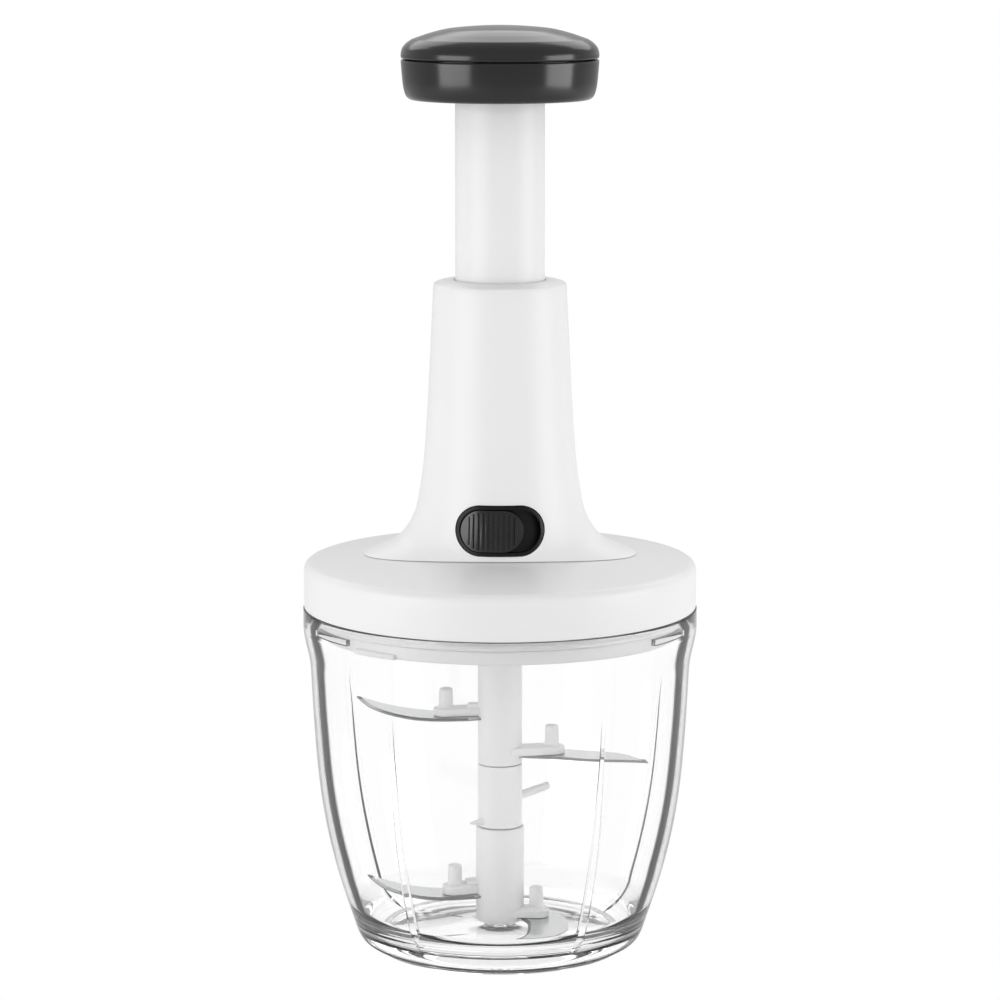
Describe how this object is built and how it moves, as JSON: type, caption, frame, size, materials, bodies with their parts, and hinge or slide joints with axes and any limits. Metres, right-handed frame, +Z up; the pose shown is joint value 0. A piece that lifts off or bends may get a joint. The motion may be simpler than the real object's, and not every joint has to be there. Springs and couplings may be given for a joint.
{
  "type": "plunger food chopper",
  "caption": "Hand-press food chopper: clear bowl with curved steel blades on a stem, twist-on lid with a tall grip, and a sprung plunger with a round black knob.",
  "frame": {"origin": "centre of the bowl's foot, on the surface that it stands on", "axes": "+Z up along the plunger, -Y towards the front with the lock, +X to the right seen from the front"},
  "size_m": [0.1312, 0.1312, 0.3074],
  "materials": {
    "clear_plastic": "polished clear moulding",
    "white_plastic": "smooth satin white moulding",
    "grey_plastic": "smooth pale grey moulding",
    "black_plastic": "satin charcoal black moulding",
    "silicone": "soft translucent white silicone",
    "steel": "fine ground stainless steel"
  },
  "bodies": {
    "bowl": {"bowl": "clear_plastic", "pivot_pin": "steel"},
    "seal": {"lid_gasket": "silicone"},
    "lid": {"lid_shell": "white_plastic", "lid_plug": "white_plastic", "drive_seal": "silicone", "tower": "white_plastic", "tower_screw_left": "steel", "tower_screw_right": "steel", "guide_sleeve": "grey_plastic", "neck_bush": "grey_plastic", "lock_bezel": "black_plastic"},
    "lock": {"lock_slider": "black_plastic", "lock_bolt": "black_plastic"},
    "drive": {"drive_hub": "grey_plastic", "thrust_washer": "steel", "ratchet_wheel": "steel", "pawl_left": "steel", "pawl_right": "steel", "spiral_rod": "steel", "spring_seat": "grey_plastic", "return_spring": "steel"},
    "plunger": {"plunger_tube": "white_plastic", "drive_nut": "grey_plastic", "knob_ring": "black_plastic", "knob_cap": "black_plastic", "knob_screw": "steel"},
    "cutter": {"stem_lower": "grey_plastic", "stem_middle": "grey_plastic", "stem_upper": "grey_plastic", "blade_upper_left": "steel", "blade_upper_right": "steel", "blade_lower_left": "steel", "blade_lower_front": "steel"}
  },
  "joints": [
    {"name": "lid_lift", "type": "slide", "parent": "bowl", "child": "seal", "axis": [0, 0, 1], "range_m": [0, 0.2]},
    {"name": "lid_twist", "type": "hinge", "parent": "seal", "child": "lid", "pos_m": [0, 0, 0.115], "axis": [0, 0, 1], "range_deg": [-20, 0]},
    {"name": "plunger_press", "type": "slide", "parent": "lid", "child": "plunger", "axis": [0, 0, -1], "range_m": [0, 0.055], "stiffness_N_per_m": 400, "springref_m": -0.03, "deforming": ["return_spring"]},
    {"name": "drive_spin", "type": "hinge", "parent": "lid", "child": "drive", "pos_m": [0, 0, 0.12], "axis": [0, 0, 1], "range_deg": [0, 552]},
    {"name": "cutter_spin", "type": "hinge", "parent": "bowl", "child": "cutter", "pos_m": [0, 0, 0.01], "axis": [0, 0, 1], "range_deg": [0, 552]},
    {"name": "lock_slide", "type": "hinge", "parent": "lid", "child": "lock", "pos_m": [0, 0, 0.1449], "axis": [0, 0, 1], "range_deg": [0, 11]}
  ],
  "couplings": [
    {"joint": "drive_spin", "follows": "plunger_press", "rad_per_m": 174.53},
    {"joint": "cutter_spin", "follows": "plunger_press", "rad_per_m": 174.53}
  ]
}
